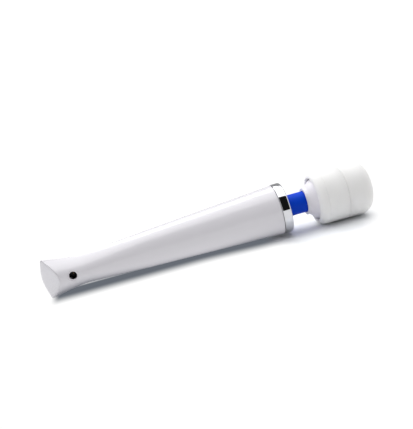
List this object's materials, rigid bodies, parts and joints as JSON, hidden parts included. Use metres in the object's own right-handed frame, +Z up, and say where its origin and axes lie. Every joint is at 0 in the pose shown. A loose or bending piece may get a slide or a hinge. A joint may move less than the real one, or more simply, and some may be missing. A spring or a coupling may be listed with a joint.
{
  "type": "wand massager",
  "caption": "Cordless handheld wand massager: waisted two-shell handle, collar ring, bendable soft neck and a round soft head with an eccentric motor inside.",
  "frame": {"origin": "centre of the bounding box's footprint, on the surface the wand lies on", "axes": "+X from the tail to the head, +Z up, charging socket towards -Y, buttons towards +Y"},
  "size_m": [0.3422, 0.0558, 0.0558],
  "materials": {
    "gloss_white": "polished",
    "end_white": "satin",
    "chrome": "mirror polished",
    "blue_silicone": "satin silicone",
    "soft_white": "matte silicone",
    "hard_white": "satin",
    "black_plastic": "moulded",
    "grey_plastic": "moulded",
    "button_grey": "fine matte",
    "board_green": "lacquered board",
    "cell_blue": "shrink-wrapped cell",
    "steel": "plated",
    "brass": "machined",
    "lens_clear": "clear"
  },
  "bodies": {
    "handle": {"back_shell": "gloss_white", "front_shell": "gloss_white", "tail_cap": "end_white", "indicator_lens": "lens_clear", "collar_ring": "chrome", "neck_bezel": "hard_white", "neck_mount": "grey_plastic", "neck_retainer": "grey_plastic", "mount_screw_1": "steel", "mount_screw_2": "steel", "mount_screw_3": "steel", "socket_bezel": "hard_white", "charge_socket": "black_plastic", "socket_pin": "brass", "charge_board": "board_green", "main_board": "board_green", "board_bracket": "grey_plastic", "board_screw_1": "steel", "board_screw_2": "steel", "tact_switch_1": "black_plastic", "tact_switch_2": "black_plastic", "tact_switch_3": "black_plastic", "controller_chip": "black_plastic", "motor_driver_chip": "black_plastic", "battery_rear": "cell_blue", "battery_front": "cell_blue", "battery_tab_1": "steel", "battery_tab_2": "steel", "battery_tab_3": "steel", "case_clip_1": "grey_plastic", "case_clip_2": "grey_plastic", "case_clip_3": "grey_plastic", "case_clip_4": "grey_plastic"},
    "power_key": {"power_button": "button_grey"},
    "minus_key": {"minus_button": "button_grey"},
    "plus_key": {"plus_button": "button_grey"},
    "neck_link": {"flexible_neck": "blue_silicone", "neck_spring": "steel"},
    "head": {"neck_flange": "hard_white", "head_cap": "soft_white", "head_core": "grey_plastic", "motor_can": "steel", "motor_end_bell": "black_plastic", "motor_mount": "grey_plastic", "rear_bushing": "brass", "front_bushing": "brass"},
    "rotor": {"motor_shaft": "steel", "motor_armature": "brass", "eccentric_weight": "brass"}
  },
  "joints": [
    {"name": "neck_pitch", "type": "hinge", "parent": "handle", "child": "neck_link", "pos_m": [0.0931, 0, 0.0279], "axis": [0, 1, 0], "range_deg": [-20, 20], "stiffness_Nm_per_rad": 6, "deforming": ["flexible_neck", "neck_spring"]},
    {"name": "neck_yaw", "type": "hinge", "parent": "neck_link", "child": "head", "pos_m": [0.0931, 0, 0.0279], "axis": [0, 0, 1], "range_deg": [-20, 20], "stiffness_Nm_per_rad": 6, "deforming": ["flexible_neck", "neck_spring"]},
    {"name": "motor_spin", "type": "hinge", "parent": "head", "child": "rotor", "pos_m": [0.14, 0, 0.0279], "axis": [1, 0, 0], "continuous": true},
    {"name": "power_press", "type": "slide", "parent": "handle", "child": "power_key", "axis": [0, -1, 0], "range_m": [0, 0.0008], "stiffness_N_per_m": 1500},
    {"name": "minus_press", "type": "slide", "parent": "handle", "child": "minus_key", "axis": [0, -1, 0], "range_m": [0, 0.0008], "stiffness_N_per_m": 1500},
    {"name": "plus_press", "type": "slide", "parent": "handle", "child": "plus_key", "axis": [0, -1, 0], "range_m": [0, 0.0008], "stiffness_N_per_m": 1500}
  ]
}
